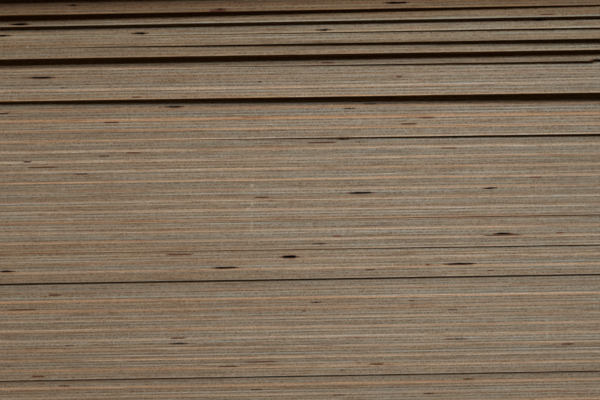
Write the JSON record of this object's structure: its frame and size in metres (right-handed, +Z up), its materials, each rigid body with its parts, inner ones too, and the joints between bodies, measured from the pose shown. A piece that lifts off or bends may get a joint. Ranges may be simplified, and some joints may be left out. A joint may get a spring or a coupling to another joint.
{
  "type": "stack of plywood sheets",
  "caption": "Free-standing stack of full-size plywood sheets lying flat, with the crossed veneers showing on the sawn edges and the upper sheets slid askew.",
  "frame": {"origin": "centre of the lowest sheet's underside, on the floor", "axes": "+X along the long edges of the lowest sheet, +Y from the front edges to the back edges, +Z up through the stack"},
  "size_m": [2.5274, 1.3832, 0.414],
  "materials": {
    "plywood": "dry sawn edge and unfinished rotary-cut face veneer"
  },
  "bodies": {
    "root": {"sheet_01": "plywood", "sheet_02": "plywood", "sheet_03": "plywood", "sheet_04": "plywood", "sheet_05": "plywood", "sheet_06": "plywood", "sheet_07": "plywood", "sheet_08": "plywood", "sheet_09": "plywood", "sheet_10": "plywood", "sheet_11": "plywood", "sheet_12": "plywood", "sheet_13": "plywood", "sheet_14": "plywood", "sheet_15": "plywood", "sheet_16": "plywood", "sheet_17": "plywood", "sheet_18": "plywood", "sheet_19": "plywood", "sheet_20": "plywood", "sheet_21": "plywood", "sheet_22": "plywood", "sheet_23": "plywood", "sheet_24": "plywood", "sheet_25": "plywood", "sheet_26": "plywood", "sheet_27": "plywood", "sheet_28": "plywood", "sheet_29": "plywood", "sheet_30": "plywood", "sheet_31": "plywood", "sheet_32": "plywood", "sheet_33": "plywood", "sheet_34": "plywood", "sheet_35": "plywood", "sheet_36": "plywood", "sheet_37": "plywood", "sheet_38": "plywood", "sheet_39": "plywood", "sheet_40": "plywood", "sheet_41": "plywood", "sheet_42": "plywood", "sheet_43": "plywood", "sheet_44": "plywood", "sheet_45": "plywood", "sheet_46": "plywood"}
  },
  "joints": []
}
